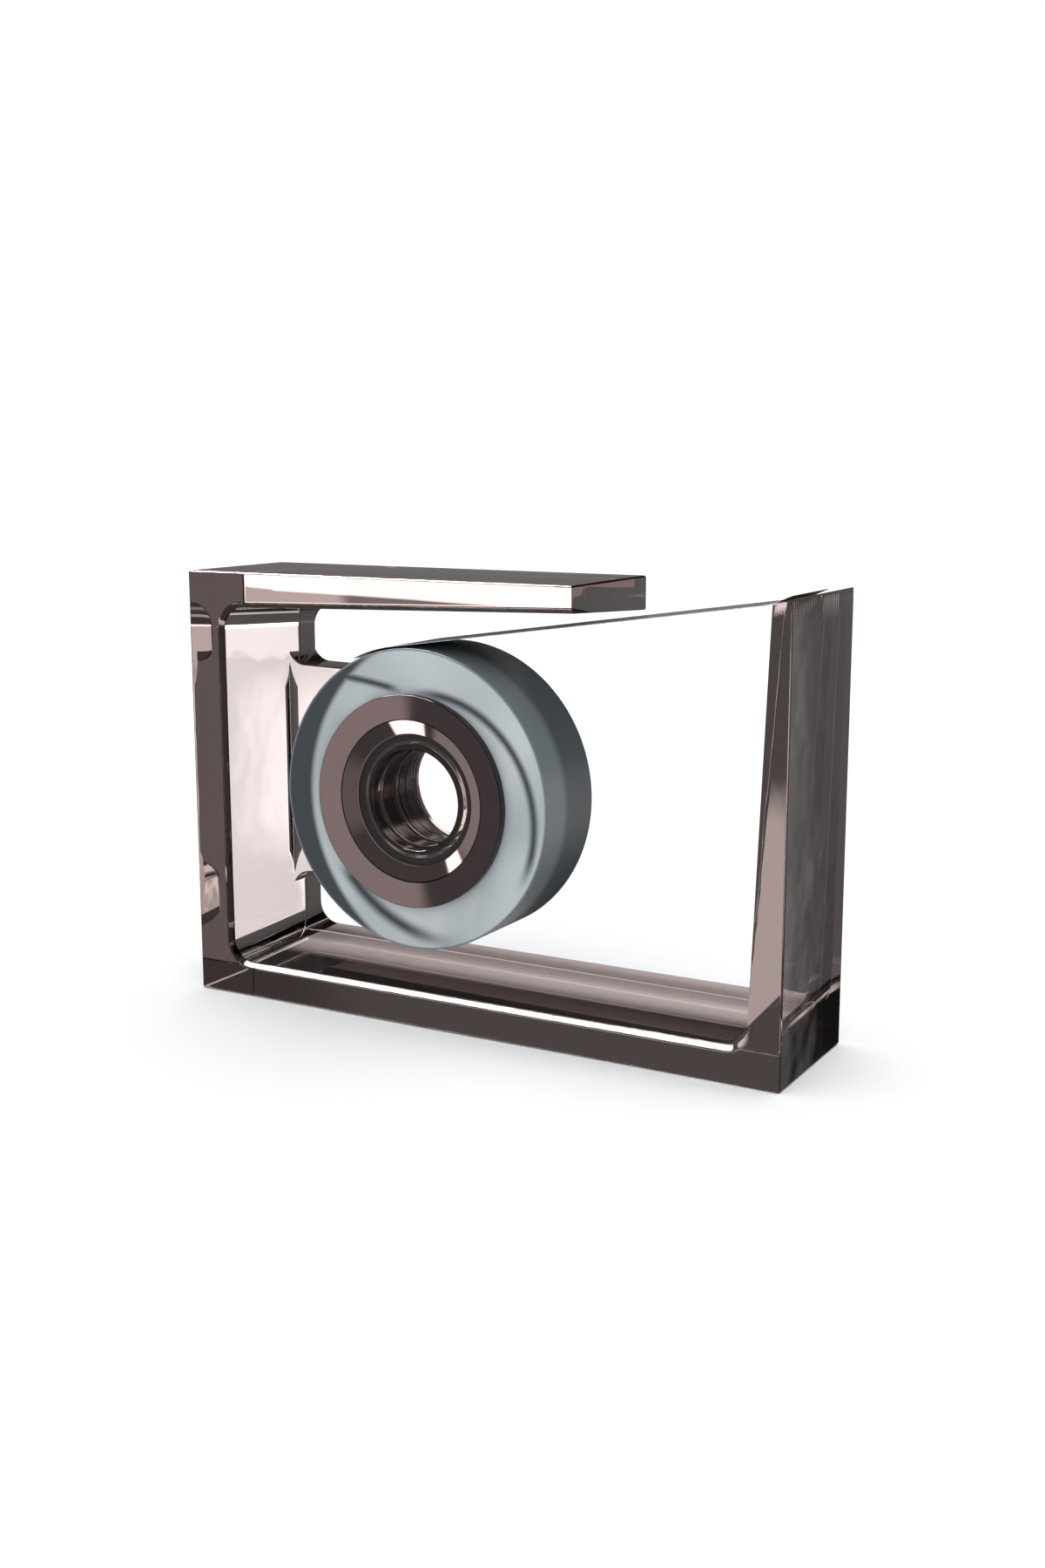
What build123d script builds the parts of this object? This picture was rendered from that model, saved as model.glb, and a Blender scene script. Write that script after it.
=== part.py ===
from build123d import *
import math
import os

# Desk tape dispenser, in millimetres.
#
# Frame of the model: +Z up, +X from the hub towards the cutter, -Y is the front, where the tape goes on.
# The origin is the centre of the block's underside, so the dispenser stands on z = 0.

# ---------------------------------------------------------------------------
# Driving dimensions
# ---------------------------------------------------------------------------

# The block
block_length = 134.0
block_depth = 32.0
block_height = 90.6
edge_radius = 0.4

# The C-shaped opening. It widens towards the front by the moulding draft, so most of its walls have
# one place on the front face and one on the rear face.
left_post_front = 8.5
left_post_rear = 9.1
bar_top_front = 7.2
bar_top_rear = 8.7
arm_length = 90.7
arm_root_front = 7.4
arm_root_rear = 9.1
arm_tip_front = 5.2
arm_tip_rear = 6.9
right_post_foot_front = 6.8
right_post_foot_rear = 7.4
right_post_top_front = 3.8
right_post_top_rear = 4.4
corner_radius = 4.7

# The cutter: the right post's top slopes up to its outer edge, and the teeth are grooves in the outer face
cutter_tip_height = 89.9
cutter_inner_height = 88.7
tooth_count = 29
tooth_depth = 0.55
tooth_groove_length = 5.2

# The hub
hub_x = -11.8
hub_z = 46.8
tongue_front_y = 6.5
tongue_end_radius = 21.4
tongue_root_top = 69.2
tongue_root_bottom = 22.4
hub_tube_outer_radius = 12.0
hub_tube_bore_radius = 11.25
hub_tube_front_y = -14.4
hub_floor_y = 2.7

# Tape: 19 mm wide on a one-inch core
tape_width = 19.0
roll_radius = 30.35
roll_front_y = -16.0
core_bore_radius = 13.0
core_outer_radius = 16.0
core_recess = 1.7

# The loose end: a straight run that leaves the roll, and a bend where it meets the right post
strip_thickness = 0.25
strip_slope = 0.145
strip_end_slope = 0.43
strip_bend_radius = 12.0
strip_roll_gap = 0.3
strip_wrap_angle = 18.0

# Clearances
running_clearance = 0.05
face_gap = 0.25
cap_gap = 0.15

# Hub wheel: a sleeve with ribs that grip the core, and a flange behind the roll
wheel_sleeve_radius = 12.75
wheel_rib_radius = 12.98
wheel_rib_count = 6
wheel_rib_width = 1.6
wheel_flange_radius = 18.0

# Drag washer
washer_outer_radius = 17.0
washer_thickness = 1.0

# Retaining cap
cap_radius = 21.4
cap_front_y = -17.9
cap_dish_radius = 16.35
cap_dish_depth = 0.8
cap_cone_radius = 13.35
cap_cone_depth = 1.5
cap_bore_radius = 10.25
cap_skirt_length = 12.0

# Elastic ring in a groove of the cap's skirt
grip_ring_section_radius = 0.25
grip_groove_depth = 0.52
grip_groove_width = 0.7
grip_ring_from_tip = 2.2

# ---------------------------------------------------------------------------
# Values that follow from them
# ---------------------------------------------------------------------------

left_x = -block_length / 2
right_x = block_length / 2
front_y = -block_depth / 2
rear_y = block_depth / 2
roll_rear_y = roll_front_y + tape_width
cutter_rise = (cutter_tip_height - cutter_inner_height) / right_post_top_front
past = 6.0                       # how far cutting tools run past a face


def hub_plane(y):
    """Plane across the hub axis at depth y. Its normal points to the rear and its local x is +X."""
    return Plane(origin=(hub_x, y, hub_z), x_dir=(1, 0, 0), z_dir=(0, 1, 0))


def disc(radius, from_y, to_y):
    """Solid cylinder about the hub axis."""
    return extrude(hub_plane(from_y) * Circle(radius), to_y - from_y)


def ring(outer_radius, inner_radius, from_y, to_y):
    """Solid ring about the hub axis."""
    sketch = Circle(outer_radius) - Circle(inner_radius)
    return extrude(hub_plane(from_y) * sketch, to_y - from_y)


def turned(profile):
    """Turn a closed outline of (radius, y) points about the hub axis."""
    points = [(hub_x + radius, y, hub_z) for radius, y in profile]
    outline = make_face(Polyline(*points, close=True))
    return revolve(outline, Axis((hub_x, 0, hub_z), (0, 1, 0)), 360)


def at_depth(y):
    """Plane parallel to the front face at depth y, with local x along X and local y along Z."""
    return Plane(origin=(0, y, 0), x_dir=(1, 0, 0), z_dir=(0, -1, 0))


# ---------------------------------------------------------------------------
# The block
# ---------------------------------------------------------------------------

def rounded_outline(corners, round_ones, radius):
    """Closed outline through the corners, with the named ones rounded."""
    face = make_face(Polyline(*corners, close=True))
    picked = []
    for corner in round_ones:
        nearest = min(face.vertices(), key=lambda v: math.dist((v.X, v.Y), corner))
        picked.append(nearest)
    return fillet(picked, radius)


def opening_outline(left_post, bar_top, arm_root, arm_tip, foot, top):
    """The C-shaped opening on one face: a closed outline with three round corners."""
    left = left_x + left_post
    sky = block_height + past
    post_slope = (foot - top) / (cutter_inner_height - bar_top)
    sky_right = right_x - top + post_slope * (sky - cutter_inner_height)
    corners = [
        (left, bar_top),
        (right_x - foot, bar_top),
        (sky_right, sky),
        (left_x + arm_length, sky),
        (left_x + arm_length, block_height - arm_tip),
        (left, block_height - arm_root),
    ]
    return rounded_outline(corners, [corners[0], corners[1], corners[5]], corner_radius)


def line_through(a, b, t):
    """Extend the values a (front) and b (rear) to the fraction t of the depth."""
    return a + (b - a) * t


def opening():
    """The opening as a drafted solid that runs past the front and rear faces."""
    over = past / block_depth
    faces = []
    for t in (-over, 1 + over):
        outline = opening_outline(
            line_through(left_post_front, left_post_rear, t),
            line_through(bar_top_front, bar_top_rear, t),
            line_through(arm_root_front, arm_root_rear, t),
            line_through(arm_tip_front, arm_tip_rear, t),
            line_through(right_post_foot_front, right_post_foot_rear, t),
            line_through(right_post_top_front, right_post_top_rear, t),
        )
        faces.append(at_depth(front_y + t * block_depth) * outline)
    return loft(faces, ruled=True)


def cutter_slope():
    """What is cut off the right post's top, so that it slopes up to the cutting edge."""
    inner = right_x - 2 * right_post_top_rear
    corners = [
        (inner, cutter_tip_height - cutter_rise * (right_x - inner)),
        (right_x + past, cutter_tip_height + cutter_rise * past),
        (right_x + past, block_height + past),
        (inner, block_height + past),
    ]
    face = make_face(Polyline(*corners, close=True))
    return extrude(at_depth(rear_y + past) * face, block_depth + 2 * past)


def tooth_grooves():
    """V grooves in the outer face that run out below the cutting edge, one between each two teeth."""
    pitch = block_depth / tooth_count
    top = cutter_tip_height + 1.0
    depth_at_top = tooth_depth * (1 + 1.0 / tooth_groove_length)
    half_at_top = pitch / 2 * (1 + 1.0 / tooth_groove_length)
    outer_x = right_x + 0.001
    groove_list = []
    for i in range(tooth_count + 1):
        y = front_y + i * pitch
        mouth = [
            (outer_x, y - half_at_top, top),
            (outer_x, y + half_at_top, top),
            (right_x - depth_at_top, y, top),
        ]
        run_out = (outer_x, y, cutter_tip_height - tooth_groove_length)
        groove_list.append(pyramid(mouth, run_out))
    return groove_list


def pyramid(base_points, apex):
    """Closed solid with a polygon base and a point."""
    faces = [Face(Wire.make_polygon(base_points, close=True))]
    count = len(base_points)
    for i in range(count):
        corner = base_points[i]
        following = base_points[(i + 1) % count]
        faces.append(Face(Wire.make_polygon([corner, following, apex], close=True)))
    return Solid(Shell(faces))


def tongue():
    """The plate behind the roll: it leaves the left post with round corners and ends round the hub."""
    wall = left_x + left_post_front
    inside = left_x + left_post_front / 2
    corners = [
        (inside, tongue_root_bottom - 2 * corner_radius),
        (wall, tongue_root_bottom - 2 * corner_radius),
        (wall, tongue_root_bottom),
        (hub_x, hub_z - tongue_end_radius),
        (hub_x, hub_z + tongue_end_radius),
        (wall, tongue_root_top),
        (wall, tongue_root_top + 2 * corner_radius),
        (inside, tongue_root_top + 2 * corner_radius),
    ]
    plate = rounded_outline(corners, [corners[2], corners[5]], corner_radius)
    plate = plate + Pos(hub_x, hub_z) * Circle(tongue_end_radius)
    return extrude(at_depth(rear_y) * plate, rear_y - tongue_front_y)


def frame_block():
    block = Pos(0, 0, block_height / 2) * Box(block_length, block_depth, block_height)
    block = fillet(block.edges(), edge_radius)
    body = block - opening() - cutter_slope()
    body = body + tongue()
    body = body + disc(hub_tube_outer_radius, hub_tube_front_y, tongue_front_y + 1)
    body = body - disc(hub_tube_bore_radius, hub_tube_front_y - 1, hub_floor_y)
    for groove in tooth_grooves():
        body = body - groove
    return body


# ---------------------------------------------------------------------------
# The hub and the roll
# ---------------------------------------------------------------------------

wheel_bore_radius = hub_tube_outer_radius + running_clearance
washer_rear_y = tongue_front_y
washer_front_y = washer_rear_y - washer_thickness
wheel_rear_y = washer_front_y - face_gap
wheel_flange_front_y = roll_rear_y
wheel_front_y = hub_tube_front_y


def drag_washer():
    return ring(washer_outer_radius, hub_tube_outer_radius, washer_front_y, washer_rear_y)


def hub_wheel():
    sleeve = ring(wheel_sleeve_radius, wheel_bore_radius, wheel_front_y, wheel_rear_y)
    flange = ring(wheel_flange_radius, wheel_bore_radius, wheel_flange_front_y, wheel_rear_y)
    rib_zone = ring(wheel_rib_radius, wheel_bore_radius, wheel_front_y, wheel_rear_y)
    wheel = sleeve + flange
    for i in range(wheel_rib_count):
        bar = Pos(wheel_rib_radius, 0) * Rectangle(wheel_rib_radius - wheel_bore_radius, wheel_rib_width)
        bar = Rot(0, 0, i * 360 / wheel_rib_count) * bar
        rib = extrude(hub_plane(wheel_front_y) * bar, wheel_rear_y - wheel_front_y) & rib_zone
        wheel = wheel + rib
    return wheel


def tape_core():
    return ring(core_outer_radius, core_bore_radius, roll_front_y + core_recess, roll_rear_y)


def tape_roll():
    return ring(roll_radius, core_outer_radius, roll_front_y, roll_rear_y)


def tape_strip():
    """The loose end, over its full width: round the top of the roll, straight, then up over the cutter."""
    leave = math.atan(strip_slope)
    middle_radius = roll_radius + strip_roll_gap + strip_thickness / 2
    post_top = line_through(right_post_top_front, right_post_top_rear, tape_width / block_depth)
    rest_x = right_x - post_top
    rest_z = cutter_tip_height - cutter_rise * post_top
    rest_z = rest_z + strip_thickness / 2 * math.sqrt(1 + strip_end_slope ** 2)
    peel = (hub_x - middle_radius * math.sin(leave), hub_z + middle_radius * math.cos(leave))
    wrap = leave + math.radians(strip_wrap_angle)
    start = (hub_x - middle_radius * math.sin(wrap), hub_z + middle_radius * math.cos(wrap))
    run = rest_z - strip_end_slope * rest_x - peel[1] + strip_slope * peel[0]
    bend_x = run / (strip_slope - strip_end_slope)
    bend = (bend_x, peel[1] + strip_slope * (bend_x - peel[0]))
    end_x = right_x - strip_thickness / 2
    end = (end_x, rest_z + strip_end_slope * (end_x - rest_x))
    wrapped = RadiusArc(start, peel, middle_radius)
    free = FilletPolyline(peel, bend, end, radius=strip_bend_radius)
    outline = trace(wrapped + free, strip_thickness)
    return extrude(at_depth(roll_front_y + tape_width) * outline, tape_width)


# ---------------------------------------------------------------------------
# The cap
# ---------------------------------------------------------------------------

cap_back_y = roll_front_y - cap_gap
cap_dish_y = cap_front_y + cap_dish_depth
cap_step_y = cap_dish_y + cap_cone_depth
cap_step_back_y = hub_tube_front_y - face_gap
cap_nose_radius = core_outer_radius - face_gap
cap_skirt_radius = hub_tube_bore_radius - running_clearance
cap_skirt_tip_y = hub_tube_front_y + cap_skirt_length
grip_ring_y = cap_skirt_tip_y - grip_ring_from_tip
grip_ring_centre_radius = cap_skirt_radius - grip_ring_section_radius


def retaining_cap():
    """Ring with a dished front, a countersink, a flat step and a skirt inside the hub tube."""
    profile = [
        (cap_radius, cap_back_y),
        (cap_radius, cap_front_y),
        (cap_dish_radius, cap_dish_y),
        (cap_cone_radius, cap_step_y),
        (cap_bore_radius, cap_step_y),
        (cap_bore_radius, cap_skirt_tip_y),
        (cap_skirt_radius, cap_skirt_tip_y),
        (cap_skirt_radius, cap_step_back_y),
        (cap_nose_radius, cap_step_back_y),
        (cap_nose_radius, cap_back_y),
    ]
    groove_bottom = cap_skirt_radius - grip_groove_depth
    groove_from = grip_ring_y - grip_groove_width / 2
    groove_to = grip_ring_y + grip_groove_width / 2
    return turned(profile) - ring(cap_skirt_radius + 1, groove_bottom, groove_from, groove_to)


def cap_grip_ring():
    place = Plane(origin=(hub_x, grip_ring_y, hub_z), x_dir=(1, 0, 0), z_dir=(0, 1, 0))
    return place * Torus(grip_ring_centre_radius, grip_ring_section_radius)


# ---------------------------------------------------------------------------
# All the pieces
# ---------------------------------------------------------------------------

def main():
    os.makedirs("parts", exist_ok=True)
    pieces = {
        "frame_block": frame_block(),
        "drag_washer": drag_washer(),
        "hub_wheel": hub_wheel(),
        "tape_core": tape_core(),
        "tape_roll": tape_roll(),
        "tape_strip": tape_strip(),
        "retaining_cap": retaining_cap(),
        "cap_grip_ring": cap_grip_ring(),
    }
    for name, piece in pieces.items():
        export_step(piece, os.path.join("parts", name + ".step"))


main()
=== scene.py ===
# %% [markdown]
# # A desk tape dispenser in smoky acrylic
# The real object is a thick C-shaped block of clear, brown-tinted plastic with a roll of tape hung on a
# hub inside it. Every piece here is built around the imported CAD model, in metres and in the same frame,
# so nothing has to be fitted: a piece goes where the CAD says. We load that frame first.

# %% Load the frame
import math

import bmesh
import bpy
from mathutils import Matrix, Quaternion, Vector


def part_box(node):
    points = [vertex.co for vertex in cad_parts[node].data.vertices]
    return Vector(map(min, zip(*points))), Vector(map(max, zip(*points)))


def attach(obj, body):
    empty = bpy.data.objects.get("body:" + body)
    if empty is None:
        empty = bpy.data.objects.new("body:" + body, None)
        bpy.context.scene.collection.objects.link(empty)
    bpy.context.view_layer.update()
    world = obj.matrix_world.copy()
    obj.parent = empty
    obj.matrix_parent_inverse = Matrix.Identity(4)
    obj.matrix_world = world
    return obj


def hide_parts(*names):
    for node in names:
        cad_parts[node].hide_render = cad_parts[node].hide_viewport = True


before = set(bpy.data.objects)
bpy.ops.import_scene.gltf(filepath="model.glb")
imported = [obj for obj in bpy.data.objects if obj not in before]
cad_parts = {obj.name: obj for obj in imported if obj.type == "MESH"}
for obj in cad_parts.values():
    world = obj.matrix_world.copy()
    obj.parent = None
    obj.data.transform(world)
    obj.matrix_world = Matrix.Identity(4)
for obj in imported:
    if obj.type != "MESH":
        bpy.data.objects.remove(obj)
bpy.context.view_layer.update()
MM = 0.001

# %% [markdown]
# The places of the pieces come from the CAD boxes. The hub is the axis that the roll turns about, and
# it is the middle of the roll's box. The sizes that no box gives are repeated here in metres.

# %% Places and sizes
block_low, block_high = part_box("frame_block")
roll_low, roll_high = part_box("tape_roll")
core_low, core_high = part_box("tape_core")
cap_low, cap_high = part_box("retaining_cap")
washer_low, washer_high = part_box("drag_washer")
wheel_low, wheel_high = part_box("hub_wheel")
grip_low, grip_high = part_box("cap_grip_ring")
hub_x = (roll_low.x + roll_high.x) / 2
hub_z = (roll_low.z + roll_high.z) / 2
roll_radius = (roll_high.x - roll_low.x) / 2
core_radius = (core_high.x - core_low.x) / 2
hub = Vector((hub_x, 0, hub_z))
print("hub at", [round(v / MM, 2) for v in hub], "roll radius", round(roll_radius / MM, 2))

# %% [markdown]
# The camera stands a little above the block, to its right, and looks back at the hub. A picture frame
# this tall leaves white above and below, as on a catalogue page.

# %% Camera
camera_place = Vector((176.28, -304.85, 115.22)) * MM
camera_turn = math.radians(29.42)
camera_dip = math.radians(-10.71)
camera_roll = math.radians(0.06)
camera_data = bpy.data.cameras.new("catalogue_camera")
camera_data.sensor_fit = "VERTICAL"
camera_data.sensor_height = 36.0
camera_data.sensor_width = 36.0
camera_data.lens = 40.55
camera = bpy.data.objects.new("catalogue_camera", camera_data)
camera.location = camera_place
camera.rotation_euler = (math.pi / 2 + camera_dip, camera_roll, camera_turn)
camera_data.clip_start = 0.01
camera_data.clip_end = 100.0
bpy.context.scene.collection.objects.link(camera)
bpy.context.scene.camera = camera
print("lens", round(camera_data.lens, 2), "mm")

# %% [markdown]
# Small helpers for making materials with nodes. A material starts from its Principled shader, and the
# helpers add one node at a time. An input either takes a number or is linked to another node's output,
# and feed does whichever fits, so that sums can be written as plain calls.

# %% Material helpers
def new_material(name):
    material = bpy.data.materials.new(name)
    material.use_nodes = True
    tree = material.node_tree
    shader = tree.nodes["Principled BSDF"]
    return material, tree, shader


def node(tree, kind, **values):
    made = tree.nodes.new(kind)
    for key, value in values.items():
        if key in made.inputs:
            made.inputs[key].default_value = value
        else:
            setattr(made, key, value)
    return made


def feed(tree, socket, value):
    """Link value to the socket if it is an output, and set the socket to it if it is a number."""
    if isinstance(value, bpy.types.NodeSocket):
        tree.links.new(value, socket)
    else:
        socket.default_value = value


def arithmetic(tree, operation, *values):
    step = node(tree, "ShaderNodeMath", operation=operation)
    for socket, value in zip(step.inputs, values):
        feed(tree, socket, value)
    return step.outputs["Value"]


def fade(tree, value, start, end):
    """0 where value is at start or before, 1 where it is at end or past it, and smooth between."""
    edge = node(tree, "ShaderNodeMapRange", interpolation_type="SMOOTHSTEP")
    edge.inputs["From Min"].default_value = start
    edge.inputs["From Max"].default_value = end
    tree.links.new(value, edge.inputs["Value"])
    return edge.outputs["Result"]


def centred_coordinates(tree):
    """Object coordinates moved so that the hub axis is their origin."""
    where = node(tree, "ShaderNodeTexCoord")
    moved = node(tree, "ShaderNodeMapping", vector_type="TEXTURE")
    moved.inputs["Location"].default_value = (hub_x, 0, hub_z)
    tree.links.new(where.outputs["Object"], moved.inputs["Vector"])
    return moved.outputs["Vector"]


def ripple(tree, shader, scale, depth, detail=1.0):
    """A soft, shallow wave in the surface, as a moulded face has."""
    where = node(tree, "ShaderNodeTexCoord")
    wave = node(tree, "ShaderNodeTexNoise", Scale=scale, Detail=detail, Roughness=0.4)
    bump = node(tree, "ShaderNodeBump", Strength=1.0, Distance=depth)
    tree.links.new(where.outputs["Object"], wave.inputs["Vector"])
    tree.links.new(wave.outputs["Fac"], bump.inputs["Height"])
    tree.links.new(bump.outputs["Normal"], shader.inputs["Normal"])
    return bump


# %% [markdown]
# Smoky acrylic is clear plastic with a brown dye through its whole depth, so thin parts look almost
# white and long paths look black. Painting a colour on the surface can't do that. A clear shader with
# Volume Absorption inside it can. Moulded walls are never quite flat either. The big faces at the
# block's two sides show soft waves, and the others show hardly any, so the bump's strength follows how
# far a face turns sideways.

# %% Smoky acrylic
ACRYLIC_IOR = 1.49
DYE = (0.370, 0.248, 0.225, 1)
WAVES_PER_METRE = 70.0


def smoky(name, density, wave_depth):
    material, tree, shader = new_material(name)
    shader.inputs["Base Color"].default_value = (1, 1, 1, 1)
    shader.inputs["Transmission Weight"].default_value = 1.0
    shader.inputs["Roughness"].default_value = 0.0
    shader.inputs["IOR"].default_value = ACRYLIC_IOR
    bump = ripple(tree, shader, WAVES_PER_METRE, wave_depth, 2.0)
    facing = node(tree, "ShaderNodeNewGeometry")
    parts = node(tree, "ShaderNodeSeparateXYZ")
    share = node(tree, "ShaderNodeMapRange")
    share.inputs["From Min"].default_value = 0.6
    share.inputs["From Max"].default_value = 0.95
    share.inputs["To Min"].default_value = 0.05
    tree.links.new(facing.outputs["Normal"], parts.inputs["Vector"])
    tree.links.new(arithmetic(tree, "ABSOLUTE", parts.outputs["X"]), share.inputs["Value"])
    tree.links.new(share.outputs["Result"], bump.inputs["Strength"])
    dye = node(tree, "ShaderNodeVolumeAbsorption")
    dye.inputs["Color"].default_value = DYE
    dye.inputs["Density"].default_value = density
    tree.links.new(dye.outputs["Volume"], tree.nodes["Material Output"].inputs["Volume"])
    return material


block_acrylic = smoky("smoky_acrylic", 45.0, 0.00008)
print("made", block_acrylic.name)

# %% [markdown]
# The cap is the same smoky plastic with much more dye, so little light comes through it, and its
# polished faces are what shows. A dark, mauve, mirror-like finish stands for that. The cap's bore has
# the dyed plastic itself, so dense that it is nearly black. Thin bands of it at the dish's crease and
# around the outer rim are painted dark lines of shade.

# %% Dark smoky cap
cap_acrylic, cap_tree, cap_shader = new_material("dark_smoky_cap")
cap_shader.inputs["Metallic"].default_value = 0.9
cap_shader.inputs["Roughness"].default_value = 0.05
cap_where = node(cap_tree, "ShaderNodeTexCoord")
cap_cloud = node(cap_tree, "ShaderNodeTexNoise", Scale=90.0, Detail=2.0)
cap_tone = node(cap_tree, "ShaderNodeMixRGB")
cap_tone.inputs["Color1"].default_value = (0.29, 0.225, 0.22, 1)
cap_tone.inputs["Color2"].default_value = (0.33, 0.255, 0.25, 1)
cap_tree.links.new(cap_where.outputs["Object"], cap_cloud.inputs["Vector"])
cap_tree.links.new(cap_cloud.outputs["Fac"], cap_tone.inputs["Fac"])
cap_tree.links.new(cap_tone.outputs["Color"], cap_shader.inputs["Base Color"])
cap_inside = smoky("smoky_cap_inside", 600.0, 0.00001)
print("made", cap_acrylic.name, cap_inside.name)

# %% [markdown]
# Clear adhesive tape wound on a core looks bluish grey from the side, and much darker across its outer
# turn, because there we look down through hundreds of layers. The first helpers measure a place on the
# roll's flat face. Dark arcs and a dark crescent are painted on that face as shade. Each is a circle's
# edge, drawn with distances in millimetres from the hub.

# %% Painted shade on the roll's face
def distance_from(tree, flat, x, z):
    away = node(tree, "ShaderNodeVectorMath", operation="DISTANCE")
    tree.links.new(flat, away.inputs[0])
    away.inputs[1].default_value = (x * MM, z * MM, 0)
    return away.outputs["Value"]


def painted_shade_arc(tree, flat, parts, middle, arc_radius, half_width, across, upward):
    """A painted dark arc of shade about a middle point. across and upward are where it fades in, along x
    and z.
    """
    off = arithmetic(tree, "SUBTRACT", distance_from(tree, flat, *middle), arc_radius * MM)
    shape = fade(tree, arithmetic(tree, "ABSOLUTE", off), half_width * MM, 0.0)
    for axis, (start, end) in (("X", across), ("Z", upward)):
        shape = arithmetic(tree, "MULTIPLY", shape, fade(tree, parts.outputs[axis], start * MM, end * MM))
    return shape


# Painted shade: a dark crescent at the left of the face and three dark arcs over it.
def painted_face_shade(tree, flat, parts):
    marks = fade(tree, distance_from(tree, flat, 10, 0), 33.6 * MM, 35.2 * MM)
    for mark in (
        painted_shade_arc(tree, flat, parts, (3, -3), 24.6, 1.5, (-3, 8), (-17, -8)),
        painted_shade_arc(tree, flat, parts, (-28, -100), 124.5, 1.3, (-1, -6), (10, 18)),
        painted_shade_arc(tree, flat, parts, (8.6, 3.2), 31.2, 2.4, (13, -3), (-14, -18)),
    ):
        marks = arithmetic(tree, "MAXIMUM", marks, mark)
    return marks


# %% [markdown]
# The tones of the tape go on in order: a soft cloud, the painted shade over it, fine rings for the
# layers, and then the darker outer turn, which a painted reflection makes lighter near the front than
# near the rear.

# %% Wound tape
LAYERS_PER_METRE = 4200.0


def cloudy_face(tree, centred):
    swirl = node(tree, "ShaderNodeTexNoise", Scale=38.0, Detail=1.0, Roughness=0.4, Distortion=1.2)
    tree.links.new(centred, swirl.inputs["Vector"])
    cloud = node(tree, "ShaderNodeValToRGB")
    darker, lighter = cloud.color_ramp.elements
    darker.position, darker.color = 0.30, (0.33, 0.365, 0.385, 1)
    lighter.position, lighter.color = 0.60, (0.43, 0.465, 0.48, 1)
    tree.links.new(swirl.outputs["Fac"], cloud.inputs["Fac"])
    return cloud.outputs["Color"]


def mixed(tree, share, first, second, blend_type="MIX"):
    """first where share is 0 and second where it is 1. Each is a colour or an output."""
    mix = node(tree, "ShaderNodeMixRGB", blend_type=blend_type)
    for socket, value in zip(mix.inputs, (share, first, second)):
        feed(tree, socket, value)
    return mix.outputs["Color"]


def wound_tape_material():
    material, tree, shader = new_material("wound_clear_tape")
    centred = centred_coordinates(tree)
    parts = node(tree, "ShaderNodeSeparateXYZ")
    tree.links.new(centred, parts.inputs["Vector"])
    flattened = node(tree, "ShaderNodeCombineXYZ")
    tree.links.new(parts.outputs["X"], flattened.inputs["X"])
    tree.links.new(parts.outputs["Z"], flattened.inputs["Y"])
    flat = flattened.outputs["Vector"]
    radius = node(tree, "ShaderNodeVectorMath", operation="LENGTH")
    tree.links.new(flat, radius.inputs[0])
    layers = node(tree, "ShaderNodeTexNoise", noise_dimensions="1D", Scale=LAYERS_PER_METRE, Detail=3.0)
    tree.links.new(radius.outputs["Value"], layers.inputs["W"])

    # The dark colour laid over the cloud here is painted shade, in the arcs and the crescent.
    side = mixed(tree, painted_face_shade(tree, flat, parts), cloudy_face(tree, centred), (0.036, 0.046, 0.055, 1))
    side = mixed(tree, 0.12, side, layers.outputs["Fac"], "MULTIPLY")
    # The outer turn is dark from its many layers, and its lighter front band is a painted reflection.
    painted_reflection_fade = fade(tree, parts.outputs["Y"], -9.6 * MM, -6.4 * MM)
    outer_turn = mixed(tree, painted_reflection_fade, (0.135, 0.162, 0.178, 1), (0.060, 0.073, 0.082, 1))
    outermost = fade(tree, radius.outputs["Value"], roll_radius - 0.6 * MM, roll_radius - 0.2 * MM)
    tree.links.new(mixed(tree, outermost, side, outer_turn), shader.inputs["Base Color"])

    bump = node(tree, "ShaderNodeBump", Strength=0.25, Distance=0.00002)
    tree.links.new(layers.outputs["Fac"], bump.inputs["Height"])
    tree.links.new(bump.outputs["Normal"], shader.inputs["Normal"])
    shader.inputs["Roughness"].default_value = 0.34
    shader.inputs["IOR"].default_value = 1.5
    return material


wound_tape = wound_tape_material()
print("made", wound_tape.name)

# %% [markdown]
# The other finishes are the tape film itself, the dark plastic of the core, the grey washer, the clear
# wheel, and the soft clear ring on the cap.

# %% Small finishes
def moulded(name, colour, roughness, grain_scale, grain_depth, shade):
    """Moulded plastic: a plain tone that varies softly, with a fine grain."""
    material, tree, shader = new_material(name)
    where = node(tree, "ShaderNodeTexCoord")
    grain = node(tree, "ShaderNodeTexNoise", Scale=grain_scale, Detail=2.0)
    tree.links.new(where.outputs["Object"], grain.inputs["Vector"])
    tone = node(tree, "ShaderNodeMixRGB")
    tone.inputs["Color1"].default_value = (*[c * shade for c in colour], 1)
    tone.inputs["Color2"].default_value = (*colour, 1)
    tree.links.new(grain.outputs["Fac"], tone.inputs["Fac"])
    tree.links.new(tone.outputs["Color"], shader.inputs["Base Color"])
    bump = node(tree, "ShaderNodeBump", Strength=0.5, Distance=grain_depth)
    tree.links.new(grain.outputs["Fac"], bump.inputs["Height"])
    tree.links.new(bump.outputs["Normal"], shader.inputs["Normal"])
    shader.inputs["Roughness"].default_value = roughness
    return material


def clear(name, density, roughness, ior, wave_scale, wave_depth):
    """Clear, nearly colourless plastic or rubber."""
    material, tree, shader = new_material(name)
    shader.inputs["Base Color"].default_value = (1, 1, 1, 1)
    shader.inputs["Transmission Weight"].default_value = 1.0
    shader.inputs["Roughness"].default_value = roughness
    shader.inputs["IOR"].default_value = ior
    ripple(tree, shader, wave_scale, wave_depth)
    dye = node(tree, "ShaderNodeVolumeAbsorption")
    dye.inputs["Color"].default_value = (0.55, 0.62, 0.68, 1)
    dye.inputs["Density"].default_value = density
    tree.links.new(dye.outputs["Volume"], tree.nodes["Material Output"].inputs["Volume"])
    return material


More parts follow.
